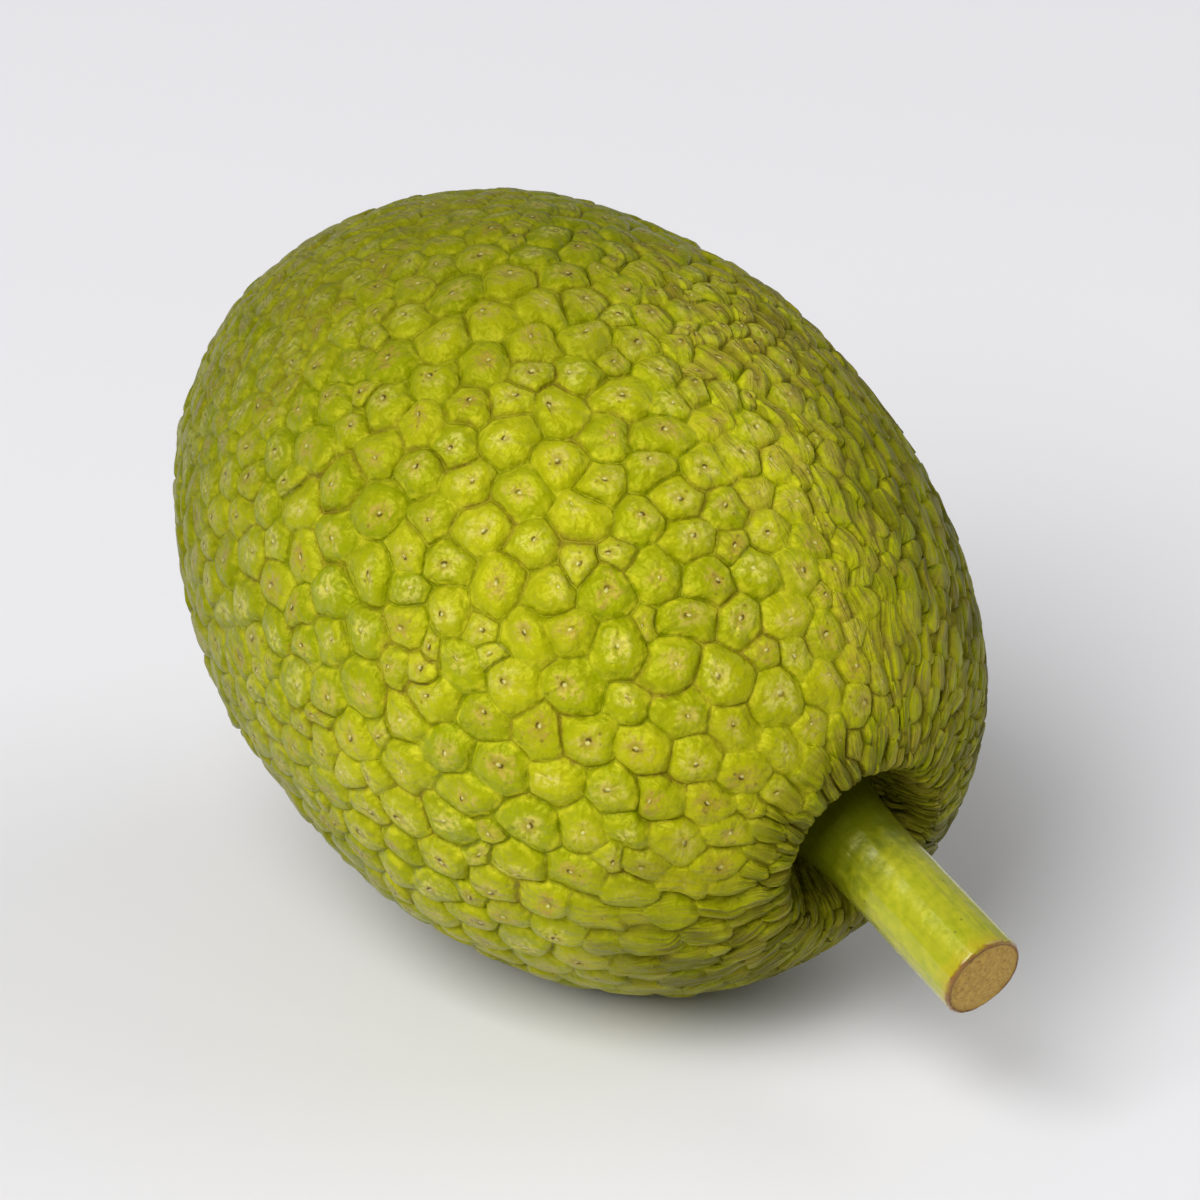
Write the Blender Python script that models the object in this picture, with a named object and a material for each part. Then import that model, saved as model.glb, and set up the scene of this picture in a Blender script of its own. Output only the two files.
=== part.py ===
"""A picked breadfruit lying on its side, with the cut stem still in the hollow at its end.

Units are metres. +Z is up, and +X points from the blossom end to the stem end.
The origin is the middle of the small flat spot that the fruit rests on.

The fruit's own shape is worked out along its axis: t runs from the blossom end (negative)
to the stem end (positive), and rho is the distance from the axis.
"""

import math

import bmesh
import bpy
from mathutils import Vector

# The fruit: an egg-round body of revolution, measured over the tops of its facets.
HALF_LENGTH = 0.0946
RADIUS = 0.0695
DROOP = math.radians(16.7)

# The flat spot: how much of the round belly it takes away.
FLAT_DEPTH = 0.0030

# The hollow at the stem end: a steep-walled pit in the middle of a wide shallow funnel.
PIT_DEPTH = 0.0210
PIT_RADIUS = 0.0138
PIT_POWER = 5
FUNNEL_DEPTH = 0.0055
FUNNEL_RADIUS = 0.0250
FLOOR_RADIUS = 0.0108

# The hollow sits a little off the fruit's axis: sideways along +Y, and up.
HOLLOW_SIDEWAYS = 0.0036
HOLLOW_UP = 0.0032
# The rings are drawn over to it between these shares of the half length.
SHIFT_START = 0.30
SHIFT_END = 0.97
# The round end itself leans that way by this share of the hollow's offset.
END_LEAN = 0.30

# The stem: flared where it joins the fruit, slender in the middle, a little thicker at the cut.
STEM_TIP = 0.1261
STEM_RADIUS = 0.0084
STEM_FLARE = 0.0021
STEM_FLARE_LENGTH = 0.0060
STEM_SWELL = 0.0003
STEM_TIP_ROUNDING = 0.0004
STEM_LEAN = 0.20

# Touching pieces keep this gap.
GAP = 0.0003

# How finely the turned shapes are divided.
FRUIT_AROUND = 64
FRUIT_RINGS = 48
STEM_AROUND = 40
STEM_RINGS = 16
RING_CROWDING = 1.6
MERGE = 1e-6

SKIN_GREEN = (0.42, 0.46, 0.03)
STALK_GREEN = (0.45, 0.49, 0.05)


def clear_scene():
    """Removes whatever the scene holds."""
    for thing in list(bpy.data.objects):
        bpy.data.objects.remove(thing)


def make_material(name, colour, roughness):
    """A plain non-metallic finish."""
    material = bpy.data.materials.new(name)
    material.use_nodes = True
    shader = material.node_tree.nodes["Principled BSDF"]
    shader.inputs["Base Color"].default_value = (*colour, 1.0)
    shader.inputs["Roughness"].default_value = roughness
    shader.inputs["Metallic"].default_value = 0.0
    return material


def smoothstep(share):
    """Rises from 0 to 1 with level ends."""
    share = min(max(share, 0.0), 1.0)
    return share * share * (3 - 2 * share)


def belly_height():
    """Distance from the fruit's centre down to the lowest point of its unflattened belly."""
    return math.hypot(HALF_LENGTH * math.sin(DROOP), RADIUS * math.cos(DROOP))


def centre_place():
    """The fruit's centre, for which the middle of the flat spot is the origin.

    The middles of a drooping ellipsoid's level slices lie on one slanting line through its
    centre, so the flat spot is offset from the centre in proportion to its height below it.
    """
    lowest = belly_height()
    slant = (HALF_LENGTH**2 - RADIUS**2) * math.sin(DROOP) * math.cos(DROOP) / lowest**2
    height = lowest - FLAT_DEPTH
    return Vector((-slant * height, 0.0, height))


def hollow_fall(distance):
    """How far the hollow lies below the round end at a distance from its middle."""
    pit = PIT_DEPTH * math.exp(-((distance / PIT_RADIUS) ** PIT_POWER))
    funnel = FUNNEL_DEPTH * math.exp(-((distance / FUNNEL_RADIUS) ** 2))
    return pit + funnel


def hollow_middle():
    """The hollow's middle across the axis. Local +X of the turned fruit points down."""
    return Vector((-HOLLOW_UP, HOLLOW_SIDEWAYS, 0.0))


def round_end_height(rho):
    """Height of the round stem end along the axis, at a distance from the axis."""
    return HALF_LENGTH * math.sqrt(max(0.0, 1 - (rho / RADIUS) ** 2))


def floor_height():
    """Height along the axis of the hollow's flat floor, where the stem stands."""
    rim = hollow_middle().length * (1 - END_LEAN) + FLOOR_RADIUS
    return round_end_height(rim) - hollow_fall(FLOOR_RADIUS)


def fruit_profile():
    """Points (rho, t) from the blossom pole, over the round outside, to the hollow's floor."""
    last = math.pi - math.asin(FLOOR_RADIUS / RADIUS)
    points = []
    for ring in range(FRUIT_RINGS + 1):
        share = ring / FRUIT_RINGS
        angle = last * (1 - (1 - share) ** RING_CROWDING)
        points.append((RADIUS * math.sin(angle), -HALF_LENGTH * math.cos(angle)))
    points.append((0.0, points[-1][1]))
    return points


def turned_mesh(profile, around):
    """Spins a profile of (rho, t) points round local Z and closes it at the axis."""
    shape = bmesh.new()
    corners = [shape.verts.new((rho, 0.0, t)) for rho, t in profile]
    edges = [shape.edges.new(pair) for pair in zip(corners, corners[1:])]
    bmesh.ops.spin(
        shape,
        geom=corners + edges,
        cent=(0, 0, 0),
        axis=(0, 0, 1),
        angle=math.tau,
        steps=around,
        use_merge=True,
    )
    bmesh.ops.remove_doubles(shape, verts=shape.verts, dist=MERGE)
    bmesh.ops.recalc_face_normals(shape, faces=shape.faces)
    return shape


def press_hollow(shape):
    """Draws the rings of the stem end over the hollow's middle, then sinks the hollow."""
    middle = hollow_middle()
    for corner in shape.verts:
        height = corner.co.z / HALF_LENGTH
        if height <= SHIFT_START:
            continue
        distance = math.hypot(corner.co.x, corner.co.y)
        drawn = smoothstep((height - SHIFT_START) / (SHIFT_END - SHIFT_START))
        moved = Vector((corner.co.x, corner.co.y, 0.0)) + middle * drawn
        if distance <= FLOOR_RADIUS + MERGE:
            corner.co = (moved.x, moved.y, floor_height())
        else:
            end = round_end_height((moved - middle * drawn * END_LEAN).length)
            corner.co = (moved.x, moved.y, end - hollow_fall(distance))


def add_object(name, shape, material, parent):
    """Turns a bmesh into a named, smooth-shaded object under the fruit's axis."""
    mesh = bpy.data.meshes.new(name)
    shape.to_mesh(mesh)
    shape.free()
    mesh.shade_smooth()
    mesh.set_sharp_from_angle(angle=math.radians(40))
    mesh.materials.append(material)
    made = bpy.data.objects.new(name, mesh)
    made.parent = parent
    bpy.context.scene.collection.objects.link(made)
    return made


def add_axis():
    """An empty at the fruit's centre whose +Z is the fruit's axis, towards the stem."""
    axis = bpy.data.objects.new("fruit_axis", None)
    axis.location = centre_place()
    axis.rotation_euler = (0.0, math.pi / 2 + DROOP, 0.0)
    bpy.context.scene.collection.objects.link(axis)
    return axis


def add_flat_spot(fruit):
    """Cuts the belly off level at z = 0, with a box that lies below it."""
    side = 4 * HALF_LENGTH
    bpy.ops.mesh.primitive_cube_add(size=side, location=(0.0, 0.0, -side / 2))
    cutter = bpy.context.active_object
    cutter.name = "ground_cutter"
    cutter.hide_render = True
    cutter.display_type = "WIRE"
    cut = fruit.modifiers.new("flat_spot", "BOOLEAN")
    cut.operation = "DIFFERENCE"
    cut.solver = "EXACT"
    cut.object = cutter


def add_fruit(axis):
    """The fruit's body in one piece: rind, flesh and core grew together."""
    shape = turned_mesh(fruit_profile(), FRUIT_AROUND)
    press_hollow(shape)
    rind = make_material("green_rind", SKIN_GREEN, 0.45)
    fruit = add_object("fruit_body", shape, rind, axis)
    add_flat_spot(fruit)
    return fruit


def stem_profile():
    """Points (rho, t) from the stem's foot on the hollow's floor to its cut face."""
    foot = floor_height() + GAP
    length = STEM_TIP - foot
    points = [(0.0, foot)]
    for ring in range(STEM_RINGS + 1):
        share = (ring / STEM_RINGS) ** RING_CROWDING
        along = share * (length - STEM_TIP_ROUNDING)
        flare = STEM_FLARE * math.exp(-((along / STEM_FLARE_LENGTH) ** 1.5))
        swell = STEM_SWELL * smoothstep(share)
        points.append((STEM_RADIUS + flare + swell, foot + along))
    rim = STEM_RADIUS + STEM_SWELL - STEM_TIP_ROUNDING
    points.append((rim, STEM_TIP))
    points.append((0.0, STEM_TIP))
    return points


def lean_stem(shape):
    """Stands the stem in the hollow's middle and leans its tip back towards the axis."""
    foot = floor_height() + GAP
    for corner in shape.verts:
        share = (corner.co.z - foot) / (STEM_TIP - foot)
        corner.co += hollow_middle() * (1 - STEM_LEAN * share)


def add_stem(axis):
    """The cut stem, which stands on the hollow's floor."""
    shape = turned_mesh(stem_profile(), STEM_AROUND)
    lean_stem(shape)
    stalk = make_material("green_stalk", STALK_GREEN, 0.4)
    return add_object("stem", shape, stalk, axis)


def build():
    """The whole fruit."""
    clear_scene()
    axis = add_axis()
    add_fruit(axis)
    add_stem(axis)


build()
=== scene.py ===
"""The looks of a picked breadfruit: its faceted rind, its stem, and the soft light it lies in.

The fruit's own axis runs from its blossom end to its stem end. Points of the rind are points
of a unit sphere, whose angle theta counts from the blossom end, and Outline.place turns them
into places on the fruit. Lengths are metres unless a comment says millimetres.
"""

import math

import bmesh
import bpy
import numpy as np
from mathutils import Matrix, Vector


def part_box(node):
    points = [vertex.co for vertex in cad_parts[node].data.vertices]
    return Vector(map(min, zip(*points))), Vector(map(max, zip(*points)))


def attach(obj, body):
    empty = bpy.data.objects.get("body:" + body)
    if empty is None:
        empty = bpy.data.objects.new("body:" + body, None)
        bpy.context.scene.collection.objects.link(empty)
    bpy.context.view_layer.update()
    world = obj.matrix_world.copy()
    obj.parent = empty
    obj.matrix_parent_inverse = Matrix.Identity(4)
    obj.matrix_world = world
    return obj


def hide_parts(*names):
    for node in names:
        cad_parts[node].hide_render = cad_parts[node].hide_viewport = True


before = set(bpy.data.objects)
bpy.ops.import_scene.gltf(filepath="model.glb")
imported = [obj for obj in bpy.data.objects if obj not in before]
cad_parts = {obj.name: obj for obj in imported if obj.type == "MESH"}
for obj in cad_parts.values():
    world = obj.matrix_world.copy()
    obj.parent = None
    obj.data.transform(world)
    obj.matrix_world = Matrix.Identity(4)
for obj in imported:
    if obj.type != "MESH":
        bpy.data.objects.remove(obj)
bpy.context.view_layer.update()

MM = 0.001
TAU = 2 * math.pi

# The fruit's shape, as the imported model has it.
HALF_LENGTH = 94.6 * MM
DROOP = math.radians(16.7)
PIT_DEPTH, PIT_RADIUS, PIT_POWER = 21.0 * MM, 13.8 * MM, 5
FUNNEL_DEPTH, FUNNEL_RADIUS = 5.5 * MM, 25.0 * MM
FLOOR_RADIUS = 10.8 * MM
HOLLOW_UP, HOLLOW_SIDEWAYS = 3.2 * MM, 3.6 * MM
SHIFT_START, SHIFT_END, END_LEAN = 0.30, 0.97, 0.30

# The stem's: where it ends along the fruit's axis, its radius, its flare at the foot and how
# far up that reaches, its swell at the cut, and the share of the hollow's offset it leans back.
STEM_TIP = 126.1 * MM
STEM_RADIUS, STEM_FLARE, STEM_FLARE_LENGTH = 8.4 * MM, 2.1 * MM, 6.0 * MM
STEM_SWELL, STEM_LEAN = 0.3 * MM, 0.20
# Touching pieces keep this gap.
GAP = 0.3 * MM

# How many points the outline has, from pole to pole.
OUTLINE_POINTS = 6001


# ---------------------------------------------------------------- small helpers


def smoothstep(low, high, value):
    """Rises from 0 at low to 1 at high with level ends."""
    share = np.clip((value - low) / (high - low), 0.0, 1.0)
    return share * share * (3 - 2 * share)


def unit(vectors):
    """Each row scaled to length 1."""
    return vectors / np.linalg.norm(vectors, axis=-1, keepdims=True)


def soft_noise(points, wavelength, seed, channels=1):
    """A smooth random field of about unit size: the sum of sixteen sine waves that run in
    random directions, with wavelengths near the one asked for."""
    rng = np.random.default_rng(seed)
    waves = 16
    total = np.zeros((len(points), channels))
    for channel in range(channels):
        ways = unit(rng.normal(size=(waves, 3)))
        rates = TAU / (wavelength * rng.uniform(0.75, 1.5, waves))
        starts = rng.uniform(0, TAU, waves)
        total[:, channel] = np.sin(points @ (ways * rates[:, None]).T + starts).sum(axis=1)
    return total * math.sqrt(2 / waves)


def towards(azimuth, elevation):
    """The direction in which something stands, from degrees round from -Y and up."""
    azimuth, elevation = math.radians(azimuth), math.radians(elevation)
    level = math.cos(elevation)
    return Vector((math.sin(azimuth) * level, -math.cos(azimuth) * level, math.sin(elevation)))


# ---------------------------------------------------------------- the fruit's round shape

fruit_low, fruit_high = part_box("fruit_body")
RADIUS = (fruit_high.y - fruit_low.y) / 2
BELLY = math.hypot(HALF_LENGTH * math.sin(DROOP), RADIUS * math.cos(DROOP))
REACH = math.hypot(HALF_LENGTH * math.cos(DROOP), RADIUS * math.sin(DROOP))
CENTRE = np.array([fruit_low.x + REACH, 0.0, fruit_high.z - BELLY])
TURN = math.pi / 2 + DROOP
# Rows are the fruit's own X, Y and Z (its axis) in the world's directions.
FRUIT_AXES = np.array([
    [math.cos(TURN), 0.0, -math.sin(TURN)],
    [0.0, 1.0, 0.0],
    [math.sin(TURN), 0.0, math.cos(TURN)],
])
HOLLOW_MIDDLE = np.array([-HOLLOW_UP, HOLLOW_SIDEWAYS])


def to_world(own):
    """Points in the fruit's own frame, put where the fruit lies."""
    return CENTRE + own @ FRUIT_AXES


def hollow_fall(distance):
    """Depth of the hollow: a steep pit, exp(-(r/R)^5), in a shallow bell-shaped funnel."""
    pit = PIT_DEPTH * np.exp(-((distance / PIT_RADIUS) ** PIT_POWER))
    return pit + FUNNEL_DEPTH * np.exp(-((distance / FUNNEL_RADIUS) ** 2))


def round_end(rho):
    """Height of the round end along the axis: half a length times sqrt(1 - (rho/R)^2)."""
    return HALF_LENGTH * np.sqrt(np.clip(1 - (rho / RADIUS) ** 2, 0.0, 1.0))


FLOOR_RIM = np.hypot(*HOLLOW_MIDDLE) * (1 - END_LEAN) + FLOOR_RADIUS
FLOOR_HEIGHT = float(round_end(FLOOR_RIM) - hollow_fall(FLOOR_RADIUS))


def profile():
    """The fruit's half outline, from the blossom pole round to the middle of the hollow's
    floor, as (angle, rho, height before the hollow, height)."""
    angle = np.linspace(0.0, math.pi, OUTLINE_POINTS)
    rho = RADIUS * np.sin(angle)
    plain = -HALF_LENGTH * np.cos(angle)
    height = np.where(plain > 0, plain - hollow_fall(rho), plain)
    height = np.where((plain > 0) & (rho < FLOOR_RADIUS), FLOOR_HEIGHT, height)
    return angle, rho, plain, height


# Widths of facets in millimetres: at the blossom end, how much more over the middle, of the
# narrowest fold by the hollow, and of the plain facets that the stem hides.
BLOSSOM_FACET, MIDDLE_GAIN, NARROWEST_FOLD, HIDDEN_FACET = 5.4, 4.1, 2.1, 6.0
# A fold is 0.1 mm wide at FOLDS_MEET from the axis, and wider by FOLD_SPREAD of the way beyond.
FOLD_SPREAD, FOLDS_MEET = 0.26, 8.0
# How much longer than wide a fold is: this much, fading by e for each FOLD_FADE of width.
FOLD_LENGTH, FOLD_FADE = 22.0, 2.7


def facet_sizes(angle, rho):
    """Width round the fruit and length along it of a facet at each place of the outline.

    They are nearly 10 mm over the middle and smaller towards the blossom end. Towards the
    hollow the width shrinks with the way round, smoothly taken as the lesser of the two,
    while the length doesn't, so the facets there turn into long folds that run down into
    the hollow. Under the stem they are plain."""
    plump = BLOSSOM_FACET + MIDDLE_GAIN * smoothstep(0.3, 1.45, angle)
    squeezed = np.maximum(FOLD_SPREAD * (rho / MM - FOLDS_MEET) + 0.1, NARROWEST_FOLD)
    stem_half = angle > math.pi / 2
    width = np.where(stem_half, -np.logaddexp(-2 * plump, -2 * squeezed) / 2, plump)
    length = width + np.where(stem_half, FOLD_LENGTH * np.exp(-width / FOLD_FADE), 0.0)
    under_stem = stem_half & (rho < FLOOR_RADIUS)
    width = np.where(under_stem, HIDDEN_FACET, width)
    length = np.where(under_stem, HIDDEN_FACET, length)
    return width * MM, length * MM


class Outline:
    """The outline as tables against theta, chosen so that a round patch on the unit sphere
    turns into a patch of a facet's width and length: d(ln tan(theta/2)) = (w/l) ds/rho."""

    def __init__(self):
        angle, rho, plain, height = profile()
        middle = (angle[1:] + angle[:-1]) / 2
        rho_middle = (rho[1:] + rho[:-1]) / 2
        step = np.hypot(np.diff(rho), np.diff(height))
        width, length = facet_sizes(middle, rho_middle)
        turn = np.concatenate([[0.0], np.cumsum(width / length * step / rho_middle)])
        turn -= np.interp(math.pi / 2, angle, turn)
        theta = 2 * np.arctan(np.exp(turn))
        theta[0], theta[-1] = 0.0, math.pi
        self.theta, self.rho, self.plain, self.height = theta, rho, plain, height
        self.run = np.concatenate([[0.0], np.cumsum(step)])
        count = TAU * rho_middle * step / (math.sqrt(3) / 2 * width * length)
        self.count = np.concatenate([[0.0], np.cumsum(count)])
        self.between = (theta[1:] + theta[:-1]) / 2
        self.widening = rho_middle / np.sin(self.between)
        self.width = width
        self.ratio = length / width

    def scales(self, theta):
        """How much wider, and how much longer along the fruit, a patch is there than on
        the unit sphere."""
        widening = np.interp(theta, self.between, self.widening)
        return widening, widening * np.interp(theta, self.between, self.ratio)

    def spacing(self, ball):
        """Distance between facets' middles on the unit sphere."""
        theta = polar_angle(ball)
        return np.interp(theta, self.between, self.width / self.widening) * crowding(ball)

    def place(self, ball):
        """Where points of the unit sphere lie on the fruit's smooth skin, in its own frame.

        A ring of the outline is drawn over towards the hollow's middle as it nears the
        stem end, and its height is read again from the round end there."""
        theta = polar_angle(ball)
        around = np.hypot(ball[:, 0], ball[:, 1])
        way = ball[:, :2] / np.maximum(around, 1e-12)[:, None]
        rho = np.interp(theta, self.theta, self.rho)
        plain = np.interp(theta, self.theta, self.plain)
        height = np.interp(theta, self.theta, self.height)
        drawn = smoothstep(SHIFT_START, SHIFT_END, plain / HALF_LENGTH)[:, None]
        flat = way * rho[:, None] + HOLLOW_MIDDLE * drawn
        lean = flat - HOLLOW_MIDDLE * drawn * END_LEAN
        pressed = round_end(np.hypot(lean[:, 0], lean[:, 1])) - hollow_fall(rho)
        shifted = (plain > SHIFT_START * HALF_LENGTH) & (rho > FLOOR_RADIUS)
        height = np.where(shifted, pressed, height)
        return np.column_stack([flat, height])


# ---------------------------------------------------------------- where the facets lie

FACET_SEED = 11
# The side where the facets are crowded, as a way across the fruit's axis.
CROWDED_SIDE = np.array([-0.656, 0.755])
# The size of facets, beside their usual one, where they are crowded and where they are soft.
CROWDED_SIZE, SOFT_SIZE = 0.68, 0.86
# How many facets are small ones, and the sizes of those and of the others.
SMALL_SHARE = 0.28
SMALL_SIZES, LARGE_SIZES = (0.52, 0.84), (0.96, 1.24)
# How far the facets are thrown about, how often and how hard they then push each other, and
# from how near.
THROW, PUSHES, PUSH, OVERLAP = 0.25, 110, 0.22, 1.06
# How much of a facet's reach doesn't depend on its own size, and how often it is centred.
COMMON_REACH, CENTRINGS = 0.35, 4
# How many hollow edges of the hull may be put right, and what still counts as flat.
MOST_SWAPS, FLAT_ENOUGH = 300, 1e-9
# How far a facet's bead strays from the middle of its ground, in radii.
BEAD_STRAY = 0.10


def crowd_share(ball):
    """How far a place lies on the crowded side, from 0 to 1, fading towards the blossom."""
    side = smoothstep(0.38, 0.82, unit(ball[:, :2] + 1e-9) @ CROWDED_SIDE)
    return side * smoothstep(-0.5, 0.05, ball[:, 2])


def soft_share(ball):
    """How low and soft the facets are, from 0 to 1: most towards the blossom end, and
    rather more on the side away from the crowded one."""
    other_side = smoothstep(0.4, 0.95, unit(ball[:, :2] + 1e-9) @ -CROWDED_SIDE)
    aside = 0.6 * other_side * smoothstep(0.55, 0.0, ball[:, 2])
    return np.maximum(smoothstep(-0.15, -0.8, ball[:, 2]), aside)


def crowding(ball):
    """The size of facets at a place beside their usual one: less where they are crowded,
    and a little less where they are soft."""
    return 1 - (1 - CROWDED_SIZE) * crowd_share(ball) - (1 - SOFT_SIZE) * soft_share(ball)


def scatter(outline):
    """Middles of the facets on the unit sphere, and the radius of each.

    They start on a dense spiral with the right number in each band, which is thinned to
    leave the right number on each side. They are thrown about, and then push each other
    apart until none is nearer than the mean of the two reaches. Rather more than one facet
    in four is a small one that fills a gap between larger ones. Each then moves, a few
    times, towards the middle of the ground that is its own."""
    rng = np.random.default_rng(FACET_SEED)
    dense = CROWDED_SIZE**-2
    rank = np.arange(0.5, outline.count[-1] * dense)
    theta = np.interp(rank / dense, outline.count, outline.theta)
    phi = rank * TAU / ((1 + math.sqrt(5)) / 2)
    level = np.sin(theta)
    ball = np.column_stack([level * np.cos(phi), level * np.sin(phi), -np.cos(theta)])
    kept = np.diff(np.floor(np.cumsum((CROWDED_SIZE / crowding(ball)) ** 2)), prepend=0) > 0
    ball = ball[kept]
    count = len(ball)
    small = rng.random(count) < SMALL_SHARE
    share = np.where(small, rng.uniform(*SMALL_SIZES, count), rng.uniform(*LARGE_SIZES, count))
    ball = unit(ball + rng.normal(size=ball.shape) * outline.spacing(ball)[:, None] * THROW)
    for _ in range(PUSHES):
        reach = outline.spacing(ball) * share
        apart = np.sqrt(np.clip(2 - 2 * ball @ ball.T, 1e-12, None))
        rest = (reach[:, None] + reach[None, :]) / 2
        push = np.clip(OVERLAP - apart / rest, 0.0, None) * PUSH * rest
        np.fill_diagonal(push, 0.0)
        pull = push / apart
        ball = unit(ball * (1 + pull.sum(axis=1))[:, None] - pull @ ball)
    share = COMMON_REACH + (1 - COMMON_REACH) * share
    for _ in range(CENTRINGS):
        raised = ball / np.cos(outline.spacing(ball) * share / 2)[:, None]
        triangles = hull_triangles(raised)
        ground = np.zeros_like(ball)
        meetings = meeting_places(raised, triangles)
        np.add.at(ground, triangles.ravel(), np.repeat(meetings, 3, axis=0))
        ball = unit(ball + unit(ground + 1e-9 * ball))
    return ball, outline.spacing(ball) * share / 2


def polar_angle(ball):
    """Theta of points of the unit sphere, from the blossom end."""
    return np.arccos(np.clip(-ball[:, 2], -1.0, 1.0))


def meeting_places(raised, triangles):
    """Where three facets meet on the unit sphere: the normal of their triangle."""
    a, b, c = (raised[triangles[:, k]] for k in range(3))
    return unit(np.cross(b - a, c - a))


def hull_triangles(points):
    """Corner numbers of the triangles of the points' convex hull, each facing outwards.

    The hull tool rounds the points a little, so an edge that is left slightly hollow is
    then swapped for the other diagonal of its two triangles, the worst one first."""
    shape = bmesh.new()
    for point in points:
        shape.verts.new(point)
    bmesh.ops.convex_hull(shape, input=shape.verts)
    bmesh.ops.triangulate(shape, faces=shape.faces)
    shape.verts.index_update()
    triangles = np.array([[corner.index for corner in face.verts] for face in shape.faces])
    shape.free()
    a, b, c = (points[triangles[:, k]] for k in range(3))
    inward = np.einsum("ij,ij->i", np.cross(b - a, c - a), a + b + c) < 0
    triangles[inward] = triangles[inward][:, ::-1]
    for _ in range(MOST_SWAPS):
        twin = opposite_halves(triangles, len(points))
        a, b, c = (points[triangles[:, k]] for k in range(3))
        normals = unit(np.cross(b - a, c - a))
        tip = np.roll(triangles, 1, axis=1).ravel()
        face = np.arange(len(tip)) // 3
        rise = ((points[tip[twin]] - a[face]) * normals[face]).sum(axis=1)
        worst = rise.argmax()
        if rise[worst] < FLAT_ENOUGH:
            break
        start, end = triangles.ravel()[worst], triangles.ravel()[twin[worst]]
        near, far = tip[worst], tip[twin[worst]]
        triangles[worst // 3] = near, start, far
        triangles[twin[worst] // 3] = near, far, end
    return triangles


def opposite_halves(triangles, count):
    """For each triangle's side, in flat order, the same side in the triangle beyond it."""
    start = triangles.ravel()
    end = np.roll(triangles, -1, axis=1).ravel()
    key = start * count + end
    order = np.argsort(key)
    return order[np.searchsorted(key[order], end * count + start)]


class Facets:
    """The rind's network of facets on the unit sphere.

    Each facet is all that is nearest to its middle, with a larger one counted as nearer:
    the convex hull of the middles, each raised by 1/cos(its radius), has one triangle for
    each meeting of three facets, whose normal is the meeting's place. The arrays run over
    half edges: facet `own` borders facet `other` along the line from meeting `start` to
    meeting `end`, counterclockwise round `own`, and `after` is the next such line."""

    def __init__(self, outline):
        ball, radius = scatter(outline)
        raised = ball / np.cos(radius)[:, None]
        triangles = hull_triangles(raised)
        kept, numbers = np.unique(triangles, return_inverse=True)
        triangles = numbers.reshape(-1, 3)
        raised = raised[kept]
        self.count = len(kept)
        self.meetings = meeting_places(raised, triangles)
        self.own = triangles.ravel()
        self.other = np.roll(triangles, -1, axis=1).ravel()
        face = np.repeat(np.arange(len(triangles)), 3)
        self.twin = opposite_halves(triangles, self.count)
        before = np.roll(np.arange(len(face)).reshape(-1, 3), 1, axis=1).ravel()
        self.start, self.end = face[self.twin], face
        self.after = self.twin[before]
        total = np.zeros((self.count, 3))
        np.add.at(total, self.own, self.meetings[self.end])
        rng = np.random.default_rng(FACET_SEED + 5)
        astray = rng.normal(0.0, BEAD_STRAY, (self.count, 3)) * radius[kept][:, None]
        self.middles = unit(unit(total) + astray)
        self.line_table()

    def line_table(self):
        """`lines` holds the half edges round each facet, padded with -1."""
        order = np.argsort(self.own, kind="stable")
        sides = np.bincount(self.own, minlength=self.count)
        first = np.concatenate([[0], np.cumsum(sides)[:-1]])
        self.lines = np.full((self.count, sides.max()), -1)
        column = np.arange(len(order)) - first[self.own[order]]
        self.lines[self.own[order], column] = order


# ---------------------------------------------------------------- the rind

# How finely each facet is divided: its mesh has a column for each COLUMN_WIDTH of its
# border, and rings at these shares of the way out to its border.
COLUMN_WIDTH, MOST_COLUMNS = 1.95 * MM, 5
RING_SHARES = np.array([0.13, 0.52, 0.78, 0.93])
# How sharply a pad falls at its edge, and how far its corners are rounded.
GROOVE_POWER, ROUNDING_POWER = 1.2, 2.1
# How many lines between facets hardly show, and how much farther off a groove seems to be:
# along such a line, along one that crosses the folds or is too short, and by soft facets.
FAINT_LINES = 0.2
FAINT, LOST, SOFTENED = 0.9 * MM, 5.0 * MM, 0.45 * MM
# A facet's relief: the height of its edge, its dome, and how wide its edge falls. A facet
# this far across from its middle to its border is a usual one.
EDGE_HEIGHT, DOME_HEIGHT, EDGE_WIDTH, USUAL_REACH = 0.95 * MM, 1.35 * MM, 1.05 * MM, 2.4 * MM
# By chance a facet has between these shares of the usual height and dome.
HEIGHT_LUCK, DOME_LUCK = (0.8, 1.2), (0.7, 1.3)
# The share that a fold gains in height, and that a soft facet loses in height and in dome.
FOLD_GAIN, SOFT_LOSS, SOFT_DOME_LOSS = 0.9, 0.2, 0.45
# A facet's usual slope and lift, and the share of both that a fold lacks.
TILT, LIFT, FOLD_CALM = 0.07, 0.14 * MM, 0.8
# Depth of its dimple in millimetres, as the mean, the spread and the most, and of its bead.
DIMPLE_MEAN, DIMPLE_SPREAD, DIMPLE_MOST, BEAD_HEIGHTS = 0.16, 0.14, 0.45, (0.04, 0.18)
DIMPLE_RADIUS, BEAD_RADIUS = 1.7 * MM, 0.5 * MM
# Sideways wander of the grooves and slow swell of the skin, with their wavelengths. In the
# hollow they are nothing, and they fade in between two distances from the fruit's axis.
WARP, WARP_WAVE, WARP_SEED = 0.55 * MM, 9.0 * MM, 21
UNDULATION, UNDULATION_WAVE, UNDULATION_SEED = 0.25 * MM, 42 * MM, 22
CALM_WITHIN, CALM_UP_TO = 8 * MM, 22 * MM
# The ridges' pattern is as on a rod of this radius in millimetres, so it widens with the fruit.
RIDGED_ROD = 25.0
# How softly the facets give way to the floor where the fruit rests on it.
CONTACT_ROUNDING = 0.5 * MM
# Ways across the fruit's axis: to where pads reach the hollow's lip, and to where the folds
# reach farthest from it.
PLUMP_SIDE, FOLDED_SIDE = np.array([-0.75, -0.66]), np.array([-0.30, 0.954])
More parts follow.
